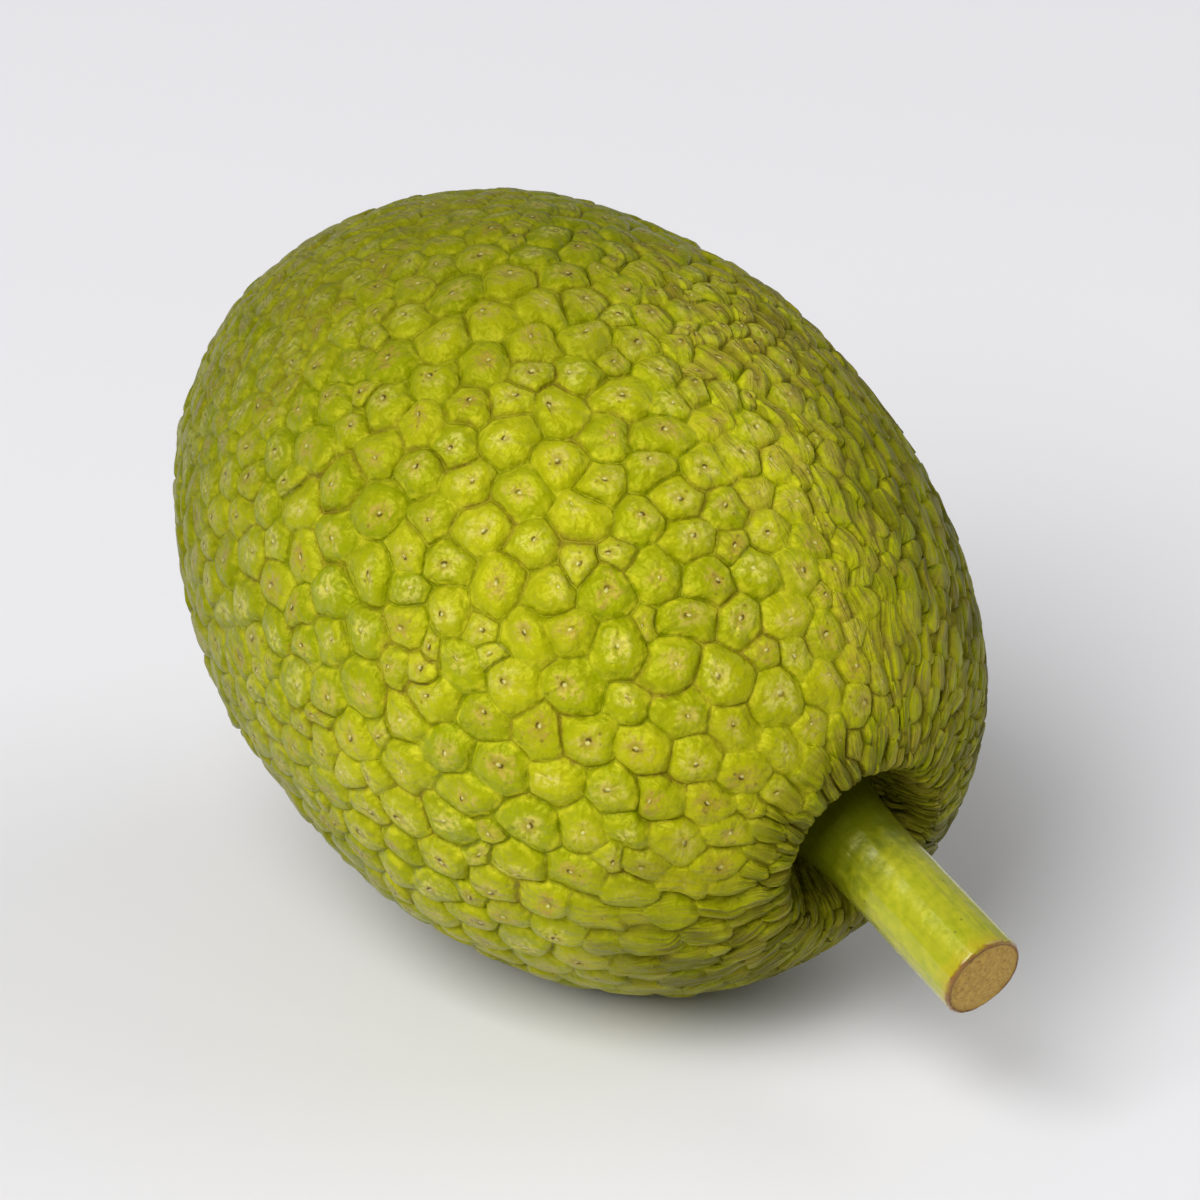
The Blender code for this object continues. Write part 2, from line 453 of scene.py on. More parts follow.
# How far along the skin the folds reach from the hollow's lip, elsewhere and on that side.
FOLD_REACH, FOLD_REACH_MOST = 40 * MM, 104 * MM
# The way along the outline from the lip, down the pit and over its floor to the middle.
LIP_TO_MIDDLE = 36 * MM


class Unrolled:
    """Each facet laid out flat, in metres round the fruit (u) and along it (v) from its
    middle, with the lines that border it."""

    def __init__(self, facets, outline):
        middles = facets.middles
        around = np.maximum(np.hypot(middles[:, 0], middles[:, 1]), 1e-9)
        theta = polar_angle(middles)
        sideways = np.column_stack([-middles[:, 1], middles[:, 0], 0 * around]) / around[:, None]
        lengthways = np.cross(middles, sideways)
        wide, long = outline.scales(theta)
        self.middles = middles
        self.across = sideways * wide[:, None]
        self.along = lengthways * long[:, None]
        self.line_start = self.lay(facets.own, facets.meetings[facets.start])
        line_end = self.lay(facets.own, facets.meetings[facets.end])
        run = line_end - self.line_start
        self.line_way = run / np.linalg.norm(run, axis=1, keepdims=True)
        self.line_length = np.linalg.norm(run, axis=1)

    def lay(self, facet, ball):
        """Points of the unit sphere as (u, v) on the unrolled facets they belong to."""
        offset = ball - self.middles[facet]
        u = (offset * self.across[facet]).sum(axis=1)
        v = (offset * self.along[facet]).sum(axis=1)
        return np.column_stack([u, v])


def inner_distance(facets, flat, facet, places, extra):
    """A smooth distance from the facet's border: (sum of d^-p)^(-1/p) over its lines, which
    is the plain distance near one line and less between several. `extra` is added to the
    distance from a line that hardly shows."""
    lines = facets.lines[facet]
    offset = places[:, None, :] - flat.line_start[lines]
    way = flat.line_way[lines]
    plain = way[:, :, 0] * offset[:, :, 1] - way[:, :, 1] * offset[:, :, 0]
    plain = np.maximum(plain, 0.0) + extra[lines]
    near = np.maximum(plain / MM, 1e-4)
    closeness = np.where(lines >= 0, near ** -ROUNDING_POWER, 0.0)
    return MM * closeness.sum(axis=1) ** (-1 / ROUNDING_POWER)


class RindGrid:
    """The points of the rind's mesh on the unit sphere, and the faces between them.

    A facet has a point in its middle and rings of points about it, and shares the points
    of its border with its neighbours. Each column runs from the middle out to one stretch
    of the border, which ends where the next column round the facet starts."""

    def __init__(self, facets, flat):
        count, meetings, rings = facets.count, len(facets.meetings), len(RING_SHARES)
        length = flat.line_length + flat.line_length[facets.twin]
        parts = np.clip(np.round(length / 2 / COLUMN_WIDTH), 1, MOST_COLUMNS).astype(int)
        line = np.repeat(np.arange(len(parts)), parts)
        line_first = np.cumsum(parts) - parts
        column = np.arange(len(line))
        step = column - line_first[line]
        last = step == parts[line] - 1
        after = np.where(last, line_first[facets.after[line]], column + 1)
        leads = facets.own < facets.other
        spare = np.where(leads, parts - 1, 0)
        spare_first = np.cumsum(spare) - spare
        spare_first = np.where(leads, spare_first, spare_first[facets.twin])
        place = np.where(leads[line], step - 1, parts[line] - step - 1)
        between = count + meetings + spare_first[line] + place
        self.border = np.where(step == 0, count + facets.start[line], between)
        ring_first = count + meetings + spare.sum()
        self.ring = ring_first + column[:, None] * rings + np.arange(rings)
        self.size = ring_first + len(line) * rings
        self.owner = facets.own[line]

        share = (step / parts[line])[:, None]
        rim = facets.meetings[facets.start[line]] * (1 - share)
        rim += facets.meetings[facets.end[line]] * share
        self.ball = np.zeros((self.size, 3))
        self.ball[:count] = facets.middles
        self.ball[self.border] = rim
        out = RING_SHARES[None, :, None]
        middle = facets.middles[self.owner][:, None, :]
        self.ball[self.ring] = middle * (1 - out) + rim[:, None, :] * out
        self.ball = unit(self.ball)

        near, far = self.ring[:, :-1], self.ring[:, 1:]
        bands = np.stack([near, far, far[after], near[after]], axis=-1).reshape(-1, 4)
        rim_band = [self.ring[:, -1], self.border, self.border[after], self.ring[after, -1]]
        self.triangles = np.column_stack([self.owner, self.ring[:, 0], self.ring[after, 0]])
        self.quads = np.concatenate([bands, np.column_stack(rim_band)])
        self.quad_owner = np.concatenate([np.repeat(self.owner, rings - 1), self.owner])


def fold_share(outline, ball):
    """How folded the rind is, from 0 where it has plump pads to 1 where it is drawn into long
    folds round the hollow. It fades with the way along the skin from the hollow's lip, sooner
    on one side than on the other. On the hollow's upper near side the pads keep on to its lip."""
    way = unit(ball[:, :2] + 1e-9)
    plump_side = smoothstep(0.2, 0.9, way @ PLUMP_SIDE)
    reach = FOLD_REACH + (FOLD_REACH_MOST - FOLD_REACH) * smoothstep(-0.1, 0.8, way @ FOLDED_SIDE)
    lip = outline.run[-1] - LIP_TO_MIDDLE
    away = lip - np.interp(polar_angle(ball), outline.theta, outline.run)
    plump_side = plump_side * smoothstep(-3 * MM, 6 * MM, away)
    return smoothstep(reach, 0.4 * reach, away) * (1 - 0.85 * plump_side)


def line_softness(facets, flat, folded, rng):
    """How far each border line is from being a groove, as an extra distance from it.

    A few lines hardly show, so that the facets beside them run together. Where the facets
    are drawn into folds the lines across the folds fade, where they are soft all lines
    soften, and lines too short to have a direction of their own don't count."""
    twin = facets.twin
    leads = facets.own < facets.other
    middles = facets.middles[facets.own]
    faint = rng.uniform(0.3, 1.0, len(twin))
    faint *= rng.random(len(twin)) < FAINT_LINES * (1 + 1.2 * crowd_share(middles))
    faint = np.where(leads, faint, faint[twin])
    crossing = smoothstep(0.05, 0.5, folded[facets.own])
    crossing = crossing * smoothstep(0.15, 0.65, flat.line_way[:, 0] ** 2)
    short = 1 - smoothstep(0.1 * MM, 0.6 * MM, flat.line_length)
    extra = FAINT * faint + LOST * crossing + LOST * short + SOFTENED * soft_share(middles)
    return (extra + extra[twin]) / 2


def facet_relief(facets, flat, folded, grid, rng):
    """How far each point stands above the skin's smooth shape, and its distance from a
    groove.

    A facet is a pad: d being the distance from its border, it falls by H exp(-(d/L)^1.2)
    at its edge, and has a low dome on it, D (1 - d/d_middle)^2 below its top. H is less in
    a small facet, as 1 - exp(-1.7 size), and L no more than 0.42 d_middle. It has a shallow
    dimple with a bead in it, and stands a little tilted and a little higher or lower than
    the next. Folds are taller and have no bead; soft facets are lower, with less of a dome.
    Each border point gets the mean of what its facets give."""
    extra = line_softness(facets, flat, folded, rng)
    count = facets.count
    rings = len(RING_SHARES)
    point = np.concatenate([np.arange(count), grid.ring.ravel(), grid.border])
    owner = np.concatenate([np.arange(count), np.repeat(grid.owner, rings), grid.owner])
    places = flat.lay(owner, grid.ball[point])
    distance = inner_distance(facets, flat, owner, places, extra)

    deepest = distance[:count]
    size = deepest / USUAL_REACH
    height = EDGE_HEIGHT * (1 - np.exp(-1.7 * size)) * rng.uniform(*HEIGHT_LUCK, count)
    dome = DOME_HEIGHT * size * rng.uniform(*DOME_LUCK, count)
    softened = soft_share(facets.middles)
    height *= (1 + FOLD_GAIN * folded) * (1 - SOFT_LOSS * softened)
    dome *= 1 - SOFT_DOME_LOSS * softened
    reach = np.minimum(EDGE_WIDTH, 0.42 * deepest)
    calm = 1 - FOLD_CALM * folded
    tilt = rng.normal(0.0, TILT, (count, 2)) * calm[:, None]
    lift = rng.normal(0.0, LIFT, count) * calm
    dimple = np.clip(rng.normal(DIMPLE_MEAN, DIMPLE_SPREAD, count), 0.0, DIMPLE_MOST)
    dimple = dimple * MM * smoothstep(0.4, 0.9, size)
    bead = rng.uniform(*BEAD_HEIGHTS, count) * MM * smoothstep(0.35, 0.8, size) * (1 - folded)

    fall = np.exp(-((distance / reach[owner]) ** GROOVE_POWER))
    radius = np.linalg.norm(places, axis=1)
    low = (1 - np.minimum(distance / deepest[owner], 1.0)) ** 2
    sway = (places * tilt[owner]).sum(axis=1) + lift[owner]
    hollow = dimple[owner] * np.exp(-((radius / DIMPLE_RADIUS) ** 2))
    bump = bead[owner] * np.exp(-((radius / BEAD_RADIUS) ** 2))
    rise = -height[owner] * fall - dome[owner] * low + (1 - fall) * (sway - hollow + bump)

    hits = np.bincount(point, minlength=grid.size)
    rise = np.bincount(point, rise, grid.size) / hits
    distance = np.bincount(point, distance, grid.size) / hits
    return rise, distance


def skin_normals(outline, ball):
    """Outward directions of the smooth skin: the cross product of two short steps over it."""
    small = 1e-4
    pole = np.where(np.abs(ball[:, 2:]) < 0.9, [[0.0, 0.0, 1.0]], [[1.0, 0.0, 0.0]])
    one = unit(np.cross(pole, ball))
    two = np.cross(ball, one)
    ahead = outline.place(unit(ball + one * small)) - outline.place(unit(ball - one * small))
    aside = outline.place(unit(ball + two * small)) - outline.place(unit(ball - two * small))
    return unit(np.cross(ahead, aside))


def make_mesh(name, points, triangles, quads):
    """A smooth-shaded object made of loose arrays of points, triangles and quads."""
    mesh = bpy.data.meshes.new(name)
    corners = np.concatenate([triangles.ravel(), quads.ravel()]).astype(np.int32)
    starts = np.concatenate([
        np.arange(len(triangles)) * 3,
        len(triangles) * 3 + np.arange(len(quads)) * 4,
    ]).astype(np.int32)
    mesh.vertices.add(len(points))
    mesh.vertices.foreach_set("co", points.astype(np.float32).ravel())
    mesh.loops.add(len(corners))
    mesh.loops.foreach_set("vertex_index", corners)
    mesh.polygons.add(len(starts))
    mesh.polygons.foreach_set("loop_start", starts)
    mesh.update(calc_edges=True)
    mesh.shade_smooth()
    mesh.validate()
    made = bpy.data.objects.new(name, mesh)
    bpy.context.scene.collection.objects.link(made)
    return made


def add_attribute(piece, name, kind, domain, values):
    """Stores one value or vector for each point or corner, under a name a material reads."""
    attribute = piece.data.attributes.new(name, kind, domain)
    field = "vector" if kind == "FLOAT_VECTOR" else "value"
    attribute.data.foreach_set(field, values.astype(np.float32).ravel())


def make_rind():
    """The fruit's faceted skin, closed all round.

    The smooth skin's points wander sideways and stand out along its normals by the facets'
    relief and a slow swell. Where the fruit rests, z becomes (z + sqrt(z^2 + e^2)) / 2, so
    the facets give way to the floor. The materials read how far each point is from a
    groove, how folded, crowded and soft the rind is there, and its place on its facet."""
    outline = Outline()
    facets = Facets(outline)
    flat = Unrolled(facets, outline)
    grid = RindGrid(facets, flat)
    rng = np.random.default_rng(FACET_SEED + 1)
    folded = fold_share(outline, facets.middles)
    rise, groove = facet_relief(facets, flat, folded, grid, rng)
    smooth = outline.place(grid.ball)
    normals = skin_normals(outline, grid.ball)
    outside = smoothstep(CALM_WITHIN, CALM_UP_TO, np.hypot(smooth[:, 0], smooth[:, 1]))
    outside = np.maximum(outside, smooth[:, 2] < 0)
    sway = soft_noise(smooth, WARP_WAVE, WARP_SEED, 3) * WARP * outside[:, None]
    sway -= normals * (sway * normals).sum(axis=1, keepdims=True)
    swell = soft_noise(smooth, UNDULATION_WAVE, UNDULATION_SEED)[:, 0] * UNDULATION * outside
    own = smooth + sway + normals * (rise + swell)[:, None]
    points = to_world(own)
    low = points[:, 2]
    points[:, 2] = (low + np.sqrt(low * low + CONTACT_ROUNDING**2)) / 2
    rind = make_mesh("rind", points, grid.triangles, grid.quads)

    corner = np.concatenate([grid.triangles.ravel(), grid.quads.ravel()])
    owner = np.concatenate([np.repeat(grid.owner, 3), np.repeat(grid.quad_owner, 4)])
    places = flat.lay(owner, grid.ball[corner]) / MM
    luck = rng.random(facets.count)[owner]
    for name, values in (
        ("groove", groove / MM),
        ("fold", fold_share(outline, grid.ball)),
        ("crowd", crowd_share(grid.ball)),
        ("soft", soft_share(grid.ball)),
    ):
        add_attribute(rind, name, "FLOAT", "POINT", values)
    run = np.interp(polar_angle(grid.ball), outline.theta, outline.run) / MM
    meridian = np.column_stack([unit(grid.ball[:, :2] + 1e-9) * RIDGED_ROD, run])
    add_attribute(rind, "meridian", "FLOAT_VECTOR", "POINT", meridian)
    add_attribute(rind, "on_facet", "FLOAT_VECTOR", "CORNER", np.column_stack([places, luck]))
    return rind


# ---------------------------------------------------------------- the stem

STALK_AROUND = 96
STALK_ROWS = 130
CUT_ROWS = 14
CUT_ROUNDING = 0.6 * MM
# The cut face's dome, in millimetres, and the ring that has shrunk: its depth, where it lies
# on the way out, and its width.
CUT_DOME = 0.28
SHRUNK_RING, SHRUNK_AT, SHRUNK_WIDTH = 0.22, 0.86, 0.05
CUT_SEED = 31
STEM_FOOT = FLOOR_HEIGHT + GAP


def stem_middle(share):
    """Middle of the stem across the fruit's axis, at a share of the way to its tip."""
    return HOLLOW_MIDDLE * (1 - STEM_LEAN * share)


def grid_quads(rows, around):
    """Faces of a tube whose points run round row after row."""
    first = np.arange(rows - 1)[:, None] * around
    here, beside = np.arange(around), np.roll(np.arange(around), -1)
    sides = [first + here, first + beside, first + around + beside, first + around + here]
    return np.stack(sides, axis=-1).reshape(-1, 4)


def stem_points():
    """The stem's skin, row by row from its foot to its rim: a flared round shaft,
    R + flare exp(-(s/(1.5 length))^1.5) + swell, a fraction of a millimetre lobed, fluted
    and wavy, and torn into fine tongues where it leaves the hollow's floor."""
    length = STEM_TIP - STEM_FOOT
    along = length * np.linspace(0.0, 1.0, STALK_ROWS)[:, None]
    share = along / length
    turn = TAU * np.arange(STALK_AROUND)[None, :] / STALK_AROUND
    radius = STEM_RADIUS + STEM_FLARE * np.exp(-((along / (1.5 * STEM_FLARE_LENGTH)) ** 1.5))
    radius = radius + STEM_SWELL * smoothstep(0.0, 1.0, share)
    # The rest of its relief, in millimetres.
    lobes = 0.12 * np.cos(3 * turn + 0.8 + 1.2 * share)
    lobes = lobes + 0.08 * np.cos(5 * turn + 2.0 - 0.9 * share)
    flutes = 0.035 * np.cos(17 * turn + 1.1 + 0.8 * np.sin(4 * share))
    flutes = flutes + 0.025 * np.cos(29 * turn + 2.4 * np.sin(3 * share + 1.0))
    waves = 0.05 * np.sin(along / MM * 0.55 + 2 * np.cos(turn))
    waves = waves + 0.04 * np.sin(along / MM * 1.3 + 3 * np.sin(turn))
    tongues = 0.5 + 0.5 * np.sin(23 * turn + 3 * np.sin(5 * turn))
    torn = np.exp(-(((along - 5.0 * MM) / (2.2 * MM)) ** 2)) * tongues
    radius = radius + MM * (lobes + flutes + waves * (1 - share) + 0.25 * torn - 0.15)
    rounded = np.clip((along - (length - CUT_ROUNDING)) / CUT_ROUNDING, 0.0, 1.0)
    radius = radius - CUT_ROUNDING * (1 - np.sqrt(1 - rounded**2 * 0.96))
    middle = stem_middle(share)
    x = radius * np.cos(turn) + middle[:, :1]
    y = radius * np.sin(turn) + middle[:, 1:]
    return np.stack([x, y, STEM_FOOT + along + 0 * turn], axis=-1)


def make_stalk():
    """The cut stem: its skin, its foot and its cut face, closed all round.

    The cut face is rings drawn in from the rim, with a low dome in the middle of it and a
    shallow ring where the skin has dried and shrunk."""
    skin = stem_points()
    rim, foot = skin[-1], skin[0]
    middle = rim.mean(axis=0)
    share = np.linspace(1.0, 0.0, CUT_ROWS + 1)[1:-1, None]
    face = middle + (rim - middle) * share[:, :, None]
    grain = soft_noise(face.reshape(-1, 3), 2.2 * MM, CUT_SEED).reshape(face.shape[:2])
    ring = SHRUNK_RING * np.exp(-(((share - SHRUNK_AT) / SHRUNK_WIDTH) ** 2))
    rise = CUT_DOME * (1 - share**2) - ring
    face[:, :, 2] += MM * (rise + 0.05 * grain)
    rows = np.concatenate([skin, face])
    tip = middle + [0, 0, CUT_DOME * MM]
    points = np.concatenate([rows.reshape(-1, 3), [tip, foot.mean(axis=0)]])
    count = len(rows) * STALK_AROUND
    quads = grid_quads(len(rows), STALK_AROUND)
    here, beside = np.arange(STALK_AROUND), np.roll(np.arange(STALK_AROUND), -1)
    last = count - STALK_AROUND
    top = np.column_stack([last + here, last + beside, np.full(STALK_AROUND, count)])
    bottom = np.column_stack([beside, here, np.full(STALK_AROUND, count + 1)])
    stalk = make_mesh("stalk", to_world(points), np.concatenate([top, bottom]), quads)
    up = points[:, 2:] - STEM_FOOT
    across = points[:, :2] - stem_middle(up / (STEM_TIP - STEM_FOOT))
    add_attribute(stalk, "stalk_place", "FLOAT_VECTOR", "POINT", np.column_stack([across, up]) / MM)
    stalk.data.materials.append(stalk_skin())
    stalk.data.materials.append(dried_cut())
    # The cut face is the first ring of triangles and the quads beyond those of the skin.
    cut = np.zeros(len(stalk.data.polygons), dtype=np.int32)
    cut[:STALK_AROUND] = 1
    cut[2 * STALK_AROUND + (STALK_ROWS - 1) * STALK_AROUND:] = 1
    stalk.data.polygons.foreach_set("material_index", cut)
    return stalk


# ---------------------------------------------------------------- materials


def linear(hex_colour):
    """An sRGB hex colour as the linear values that shaders take."""
    channels = [int(hex_colour[k:k + 2], 16) / 255 for k in (1, 3, 5)]
    low = [c / 12.92 for c in channels]
    high = [((c + 0.055) / 1.055) ** 2.4 for c in channels]
    return [l if c <= 0.04045 else h for c, l, h in zip(channels, low, high)] + [1.0]


def add_node(tree, kind, inputs=None, out=0, **settings):
    """Adds a shader node with its settings and links, and gives one of its outputs.

    Each input is a value, or another node's output to link. A MapRange maps its input 0
    from the range of its inputs 1 and 2 to that of its inputs 3 and 4, each of which is 0
    to 1 where nothing is said."""
    made = tree.nodes.new("ShaderNode" + kind)
    for name, value in settings.items():
        setattr(made, name, value)
    for key, value in (inputs or {}).items():
        if isinstance(value, bpy.types.NodeSocket):
            tree.links.new(value, made.inputs[key])
        else:
            made.inputs[key].default_value = value
    return made.outputs[out]


def new_material(name):
    """An empty material and its shader and node tree."""
    material = bpy.data.materials.new(name)
    material.use_nodes = True
    tree = material.node_tree
    return material, tree, tree.nodes["Principled BSDF"]


SMOOTH = {"interpolation_type": "SMOOTHSTEP"}
# A Mix of colours has them in its inputs 6 and 7, and in its input 0 the second one's share.
RGBA = {"data_type": "RGBA", "out": 2}
# The side painted lighter, as if lit, and the reach of that painted light across the fruit from the
# middle.
PAINTED_LIGHT_SIDE = towards(45, 17)
PAINTED_LIGHT_LOW, PAINTED_LIGHT_HIGH = 12 * MM, 88 * MM


def rind_material():
    """Breadfruit rind: a live waxy skin of fused flower heads. Each facet is a yellow-green
    pad with a pale bead and a dark speck in its middle; the grooves are darker, browner.

    `layers` are the colours that lie on the ground colour, from the lowest up. Each row is
    the factors whose product is the share of it that shows, and then its colour."""
    material, tree, shader = new_material("waxy_breadfruit_rind")
    place = add_node(tree, "TexCoord", out="Object")
    groove, fold, crowd, soft = (
        add_node(tree, "Attribute", out="Fac", attribute_name=name)
        for name in ("groove", "fold", "crowd", "soft")
    )
    meridian, facet = (
        add_node(tree, "Attribute", out="Vector", attribute_name=name)
        for name in ("meridian", "on_facet")
    )
    luck = add_node(tree, "SeparateXYZ", {0: facet}, out=2)
    flat = add_node(tree, "VectorMath", {0: facet, 1: (1, 1, 0)}, operation="MULTIPLY")
    radius = add_node(tree, "VectorMath", {0: flat}, out="Value", operation="LENGTH")
    pad = add_node(tree, "MapRange", {0: fold, 1: 0.5, 2: 0.15})

    # Cloudy patterns: how many features of each lie in a millimetre, and its detail.
    patches, mottle, flecks, freckles, sap, cloud, scurf, pores, lumps = (
        add_node(tree, "TexNoise", {"Vector": place, "Scale": scale / MM, "Detail": detail})
        for scale, detail in (
            (0.028, 2.0), (0.42, 4.0), (0.65, 3.0), (0.9, 2.0), (0.06, 3.0),
            (0.045, 3.0), (0.2, 5.0), (0.9, 3.0), (0.33, 2.0),
        )
    )

    # The ground: patches a few centimetres wide, a mottle of 1 to 3 mm, and each facet's own
    # shade, which differs less where the facets are soft.
    patches = add_node(tree, "MapRange", {0: patches, 1: 0.35, 2: 0.65})
    ground = add_node(tree, "Mix", {0: patches, 6: linear("#9A9E00"), 7: linear("#AEAB06")}, **RGBA)
    shade = add_node(tree, "Math", {0: luck, 1: mottle}, operation="ADD")
    shade = add_node(tree, "MapRange", {0: shade, 1: 0.55, 2: 1.45})
    shade = add_node(tree, "Mix", {0: shade, 6: linear("#949A00"), 7: linear("#C2B716")}, **RGBA)
    layers = [(add_node(tree, "MapRange", {0: soft, 3: 0.44, 4: 0.2}), shade)]

    # Pale flecks of a millimetre, most of them where the facets are soft.
    flecks = add_node(tree, "MapRange", {0: flecks, 1: 0.53, 2: 0.68})
    some = add_node(tree, "MapRange", {0: soft, 3: 0.25, 4: 0.7})
    layers.append((flecks, some, linear("#C8C22A")))

    # A pale freckled ring of ragged outline round the bead, brownish on some facets: partly its own
    # colour, and partly a painted sheen where it is pale.
    freckles = add_node(tree, "MapRange", {0: freckles, 1: 0.43, 2: 0.57, 3: 0.15, 4: 1.0})
    ragged = add_node(tree, "Math", {0: mottle, 1: 6.0, 2: radius}, operation="MULTIPLY_ADD")
    halo_and_sheen = add_node(tree, "MapRange", {0: ragged, 1: 6.6, 2: 4.1, 4: 0.95}, **SMOOTH)
    other = add_node(tree, "Math", {0: luck, 1: 13.7}, operation="MULTIPLY")
    other = add_node(tree, "Math", {0: other}, operation="FRACT")
    tint = add_node(tree, "Mix", {0: other, 6: linear("#D9CE60"), 7: linear("#B0903A")}, **RGBA)
    layers.append((halo_and_sheen, freckles, pad, tint))

    # The pad is greener and darker towards its edge, partly its own colour and partly painted shade
    # from the groove, and its very border is pale in places, partly its own colour and partly a
    # painted sheen.
    edge = add_node(tree, "MapRange", {0: groove, 1: 2.6, 2: 0.8, 4: 0.3}, **SMOOTH)
    layers.append((edge, linear("#858C00")))
    pale_margin_and_sheen = add_node(tree, "MapRange", {0: groove, 1: 1.5, 2: 0.6}, **SMOOTH)
    some = add_node(tree, "MapRange", {0: mottle, 1: 0.45, 2: 0.65, 4: 0.8})
    layers.append((pale_margin_and_sheen, some, linear("#C6BE24")))

    # The groove is painted dark as the shade in its crease, browner in places where sap has dried,
    # and crumbs of sap beside some.
    sap = add_node(tree, "MapRange", {0: sap, 1: 0.47, 2: 0.62})
    dark = add_node(tree, "Mix", {0: sap, 6: linear("#5A6200"), 7: linear("#6E4F16")}, **RGBA)
    deep = add_node(tree, "MapRange", {0: groove, 1: 0.38, 2: 0.06, 4: 0.46}, **SMOOTH)
    layers.append((deep, dark))
    crumbs = add_node(tree, "MapRange", {0: groove, 1: 1.0, 2: 0.2, 4: 0.6}, **SMOOTH)
    layers.append((crumbs, sap, freckles, linear("#846A24")))

    # The bead, the speck beside it, on its own side of each facet, and rust about them.
    turn = add_node(tree, "Math", {0: luck, 1: 40.0}, operation="MULTIPLY")
    beside = add_node(tree, "VectorRotate", {"Vector": flat, "Angle": turn}, rotation_type="Z_AXIS")
    for operation, by in (("SUBTRACT", (0.42, 0.0, 0.0)), ("MULTIPLY", (1.0, 0.62, 1.0))):
        beside = add_node(tree, "VectorMath", {0: beside, 1: by}, operation=operation)
    speck = add_node(tree, "VectorMath", {0: beside}, out="Value", operation="LENGTH")
    speck = add_node(tree, "MapRange", {0: speck, 1: 0.42, 2: 0.18}, **SMOOTH)
    shown = add_node(tree, "Math", {0: luck, 1: 7.3}, operation="MULTIPLY")
    shown = add_node(tree, "Math", {0: shown}, operation="FRACT")
    shown = add_node(tree, "MapRange", {0: shown, 1: 0.0, 2: 0.6, 3: 0.15})
    some = add_node(tree, "MapRange", {0: soft, 3: 1.0, 4: 0.35})
    for share in (pad, some):
        shown = add_node(tree, "Math", {0: shown, 1: share}, operation="MULTIPLY")
    rust = add_node(tree, "MapRange", {0: radius, 1: 1.7, 2: 0.5, 4: 0.6}, **SMOOTH)
    layers.append((rust, shown, linear("#92782A")))
    speck = add_node(tree, "Math", {0: speck, 1: shown}, operation="MULTIPLY")
    layers.append((speck, linear("#573E10")))
    # The bead is pale, partly its own colour and partly a painted glint.
    bead = add_node(tree, "MapRange", {0: radius, 1: 0.45, 2: 0.2}, **SMOOTH)
    bead = add_node(tree, "Math", {0: bead, 1: pad}, operation="MULTIPLY")
    layers.append((bead, 0.8, linear("#D8CE82")))

    # Brown pinholes, here and there about the bead.
    holes = add_node(tree, "TexVoronoi", {"Vector": place, "Scale": 0.42 / MM})
    holes = add_node(tree, "MapRange", {0: holes, 1: 0.20, 2: 0.10, 4: 0.75})
    some = add_node(tree, "MapRange", {0: ragged, 1: 6.4, 2: 5.4})
    layers.append((holes, some, shown, linear("#7E6420")))

    # Where it is crowded or folded, and a little where it is soft, the rind is scurfed brown and
    # has fine ridges along the fruit, 2 mm wide and 15 mm long, painted dark between them as the
    # shade in their creases.
    shady = add_node(tree, "MapRange", {0: crowd, 3: 0.1})
    for part, share in ((soft, 0.4), (fold, 0.9)):
        some = add_node(tree, "Math", {0: part, 1: share}, operation="MULTIPLY")
        shady = add_node(tree, "Math", {0: shady, 1: some}, operation="MAXIMUM")
    scurf = add_node(tree, "MapRange", {0: scurf, 1: 0.48, 2: 0.62, 4: 0.6})
    layers.append((scurf, shady, linear("#988232")))
    drawn = add_node(tree, "VectorMath", {0: meridian, 1: (1.0, 1.0, 0.06)}, operation="MULTIPLY")
    ridges = add_node(tree, "TexNoise", {"Vector": drawn, "Scale": 1.15, "Detail": 3.0,
                                         "Distortion": 0.5})
    ridge_painted_shade = add_node(tree, "MapRange", {0: ridges, 1: 0.50, 2: 0.38, 4: 0.62})
    layers.append((ridge_painted_shade, shady, linear("#6A5E10")))

    # By the hollow it is painted dark between the folds, as the shade in their creases.
    drawn = add_node(tree, "VectorMath", {0: meridian, 1: (1.0, 1.0, 0.16)}, operation="MULTIPLY")
    wrinkles = add_node(tree, "TexNoise", {"Vector": drawn, "Scale": 0.42, "Detail": 2.0})
    fold_painted_shade = add_node(tree, "MapRange", {0: wrinkles, 1: 0.53, 2: 0.39, 4: 0.72})
    layers.append((fold_painted_shade, fold, linear("#5E5A0C")))
    colour = ground
    for share, *factors, tint in layers:
        for factor in factors:
            share = add_node(tree, "Math", {0: share, 1: factor}, operation="MULTIPLY")
        colour = add_node(tree, "Mix", {0: share, 6: colour, 7: tint}, **RGBA)

